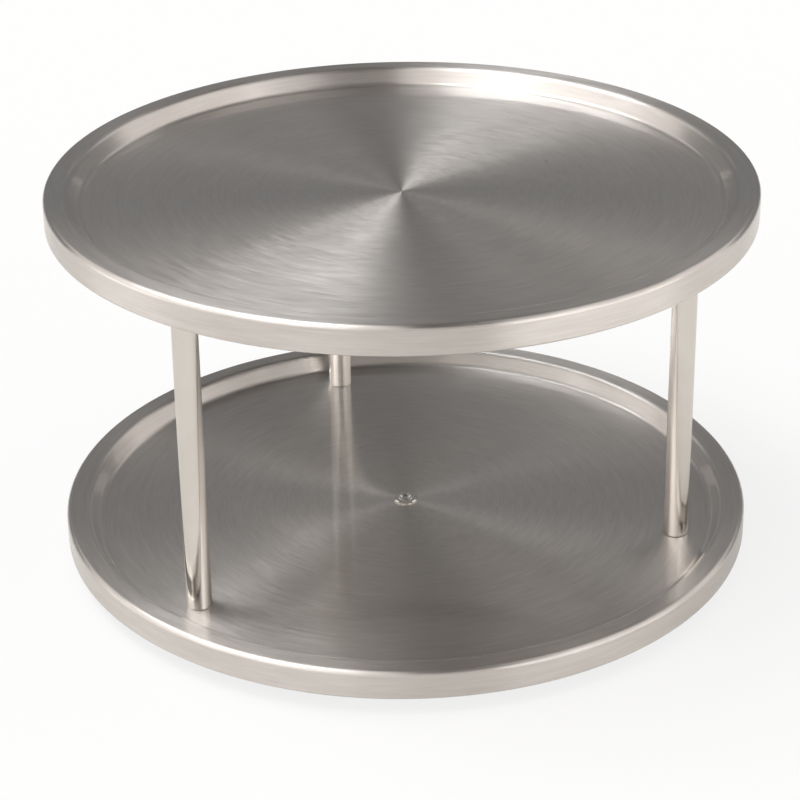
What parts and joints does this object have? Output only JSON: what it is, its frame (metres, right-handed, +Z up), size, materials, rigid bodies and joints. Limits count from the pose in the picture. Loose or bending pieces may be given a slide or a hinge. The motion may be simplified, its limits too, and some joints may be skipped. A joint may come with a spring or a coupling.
{
  "type": "two-tier turntable",
  "caption": "Round rotating storage stand with two equal brushed steel trays on plain posts, turning on a low ball-bearing base with rubber feet.",
  "frame": {"origin": "on the table, where the turning axis meets the plane of the feet", "axes": "+Z up along the turning axis, +X to the right and -Y towards the viewer in the picture's framing; the left post stands at -135 degrees from +X"},
  "size_m": [0.2666, 0.2666, 0.149],
  "materials": {
    "brushed_tray": "circular brushed",
    "polished_post": "polished",
    "zinc_hardware": "zinc plated",
    "pressed_steel": "pressed, satin",
    "bearing_steel": "ground and polished",
    "nylon": "moulded",
    "foot_rubber": "moulded, matt"
  },
  "bodies": {
    "base": {"base_plate": "pressed_steel", "foot_front_left": "foot_rubber", "foot_front_right": "foot_rubber", "foot_rear_right": "foot_rubber", "foot_rear_left": "foot_rubber", "thrust_washer": "nylon"},
    "ball_ring": {"ball_cage": "nylon", "bearing_balls": "bearing_steel"},
    "platform": {"upper_tray": "brushed_tray", "lower_tray": "brushed_tray", "post_left": "polished_post", "post_right": "polished_post", "post_rear": "polished_post", "top_plug_left": "zinc_hardware", "top_plug_right": "zinc_hardware", "top_plug_rear": "zinc_hardware", "bottom_plug_left": "zinc_hardware", "bottom_plug_right": "zinc_hardware", "bottom_plug_rear": "zinc_hardware", "tray_studs": "zinc_hardware", "post_screws": "zinc_hardware", "lock_washers": "zinc_hardware", "upper_race": "pressed_steel", "centre_rivet": "polished_post", "tail_washer": "zinc_hardware"}
  },
  "joints": [
    {"name": "platform_spin", "type": "hinge", "parent": "base", "child": "platform", "pos_m": [0, 0, 0], "axis": [0, 0, 1], "continuous": true},
    {"name": "ball_ring_spin", "type": "hinge", "parent": "base", "child": "ball_ring", "pos_m": [0, 0, 0], "axis": [0, 0, 1], "continuous": true}
  ],
  "couplings": [
    {"joint": "ball_ring_spin", "follows": "platform_spin", "ratio": 0.5}
  ]
}
